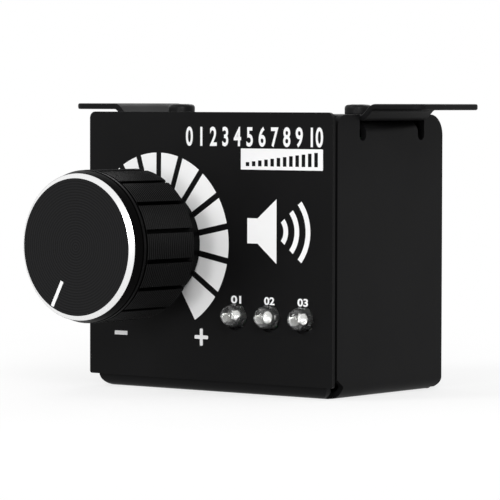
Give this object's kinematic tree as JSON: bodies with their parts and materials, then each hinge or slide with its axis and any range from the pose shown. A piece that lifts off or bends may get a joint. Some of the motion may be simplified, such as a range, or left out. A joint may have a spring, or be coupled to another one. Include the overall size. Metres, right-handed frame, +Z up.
{
  "type": "level remote control knob",
  "caption": "Wired level control for under a dashboard: folded metal box with mounting ears, turning knob, dial, indicator lamps and a modular socket at the back.",
  "frame": {"origin": "midway between the two mounting holes, on the ears' upper faces", "axes": "+Z up along the mounting screws, out of the ears' upper faces; -Y out of the dial panel, parallel to the knob's axis; +X to the right as the panel is read"},
  "size_m": [0.0586, 0.0428, 0.0382],
  "materials": {
    "black_powder_coat": "satin black powder coat on steel sheet",
    "panel_black": "satin black with white screen print",
    "screw_black": "black oxide",
    "knob_aluminium": "black anodised, turned, with a bright cut bevel",
    "core_plastic": "glossy black moulding",
    "pointer_white": "white fill",
    "plated_steel": "nickel plated",
    "zinc_casting": "die-cast zinc",
    "pot_plastic": "moulded",
    "phenolic": "phenolic sheet",
    "contact_brass": "phosphor bronze",
    "board_green": "glass-epoxy board with solder mask",
    "socket_black": "moulded",
    "tinned_copper": "tinned",
    "lamp_clear": "water-clear epoxy",
    "spacer_black": "nylon",
    "resistor_ceramic": "ceramic chip",
    "contact_gold": "gold plated"
  },
  "bodies": {
    "control_box": {"base_tray": "black_powder_coat", "top_cover": "black_powder_coat", "front_panel": "panel_black", "cover_screws": "screw_black", "pot_bushing": "zinc_casting", "pot_nut": "plated_steel", "pot_washer": "plated_steel", "pot_housing": "pot_plastic", "pot_wafer": "phenolic", "pot_can": "plated_steel", "circuit_board": "board_green", "jack_housing": "socket_black", "pot_terminal_1": "tinned_copper", "pot_terminal_2": "tinned_copper", "pot_terminal_3": "tinned_copper", "lamp_lens_1": "lamp_clear", "lamp_leads_1": "tinned_copper", "lamp_spacer_1": "spacer_black", "resistor_1": "resistor_ceramic", "lamp_lens_2": "lamp_clear", "lamp_leads_2": "tinned_copper", "lamp_spacer_2": "spacer_black", "resistor_2": "resistor_ceramic", "lamp_lens_3": "lamp_clear", "lamp_leads_3": "tinned_copper", "lamp_spacer_3": "spacer_black", "resistor_3": "resistor_ceramic", "jack_contact_1": "contact_gold", "jack_contact_2": "contact_gold", "jack_contact_3": "contact_gold", "jack_contact_4": "contact_gold"},
    "knob": {"knob_shell": "knob_aluminium", "knob_core": "core_plastic", "knob_pointer": "pointer_white", "pot_shaft": "plated_steel", "pot_rotor": "pot_plastic", "pot_wiper": "contact_brass"}
  },
  "joints": [
    {"name": "knob_turn", "type": "hinge", "parent": "control_box", "child": "knob", "pos_m": [-0.0081, -0.0139, -0.0186], "axis": [0, 1, 0], "range_deg": [0, 305]}
  ]
}
